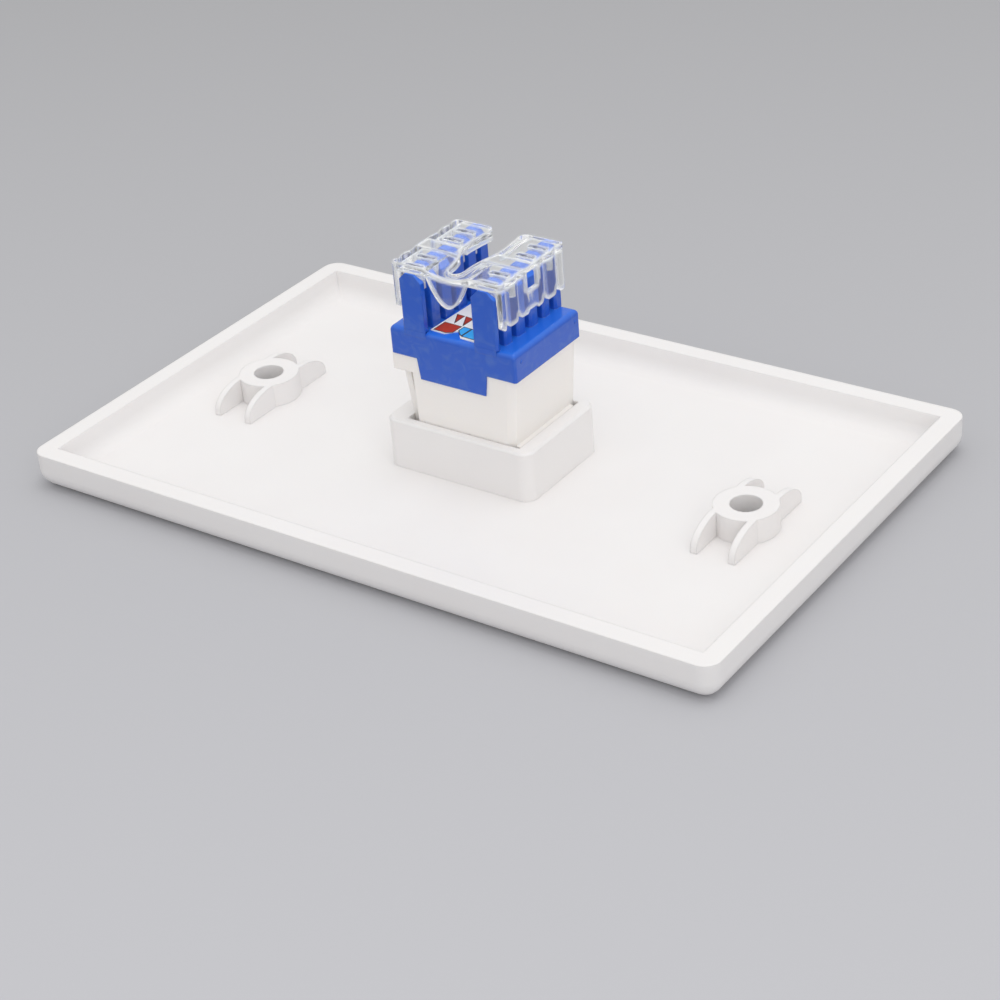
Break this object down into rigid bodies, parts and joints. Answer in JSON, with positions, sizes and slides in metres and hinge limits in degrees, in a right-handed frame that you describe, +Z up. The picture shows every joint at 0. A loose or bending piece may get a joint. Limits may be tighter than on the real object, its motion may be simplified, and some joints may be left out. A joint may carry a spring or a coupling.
{
  "type": "modular wall plate",
  "caption": "Flat white wall plate with rolled front edge, snap-in eight-way data jack, blue slotted wire block and clear pull-off cap.",
  "frame": {"origin": "middle of the plate's front face, on the surface it lies on", "axes": "+X along the plate's long side, +Y along its short side, +Z up out of the back of the plate, along the jack"},
  "size_m": [0.1146, 0.072, 0.034],
  "materials": {
    "plate_plastic": "smooth satin-gloss white moulding",
    "housing_plastic": "fine satin off-white moulding",
    "blue_plastic": "semi-gloss blue moulding",
    "label_film": "printed white film with coloured hexagon fields",
    "carrier_plastic": "matt black moulding",
    "board_laminate": "green solder mask",
    "gold_wire": "gold-plated wire",
    "tinned_bronze": "tinned stamped strip",
    "clear_plastic": "clear polished moulding"
  },
  "bodies": {
    "plate_and_jack": {"wall_plate": "plate_plastic", "jack_housing": "housing_plastic", "idc_block": "blue_plastic", "colour_code_label": "label_film", "contact_carrier": "carrier_plastic", "circuit_board": "board_laminate", "spring_contact_1": "gold_wire", "spring_contact_2": "gold_wire", "spring_contact_3": "gold_wire", "spring_contact_4": "gold_wire", "spring_contact_5": "gold_wire", "spring_contact_6": "gold_wire", "spring_contact_7": "gold_wire", "spring_contact_8": "gold_wire", "idc_contact_1": "tinned_bronze", "idc_contact_2": "tinned_bronze", "idc_contact_3": "tinned_bronze", "idc_contact_4": "tinned_bronze", "idc_contact_5": "tinned_bronze", "idc_contact_6": "tinned_bronze", "idc_contact_7": "tinned_bronze", "idc_contact_8": "tinned_bronze"},
    "cap": {"dust_cap": "clear_plastic"}
  },
  "joints": [
    {"name": "cap_pull_off", "type": "slide", "parent": "plate_and_jack", "child": "cap", "axis": [0, 0, 1], "range_m": [0, 0.012]}
  ]
}
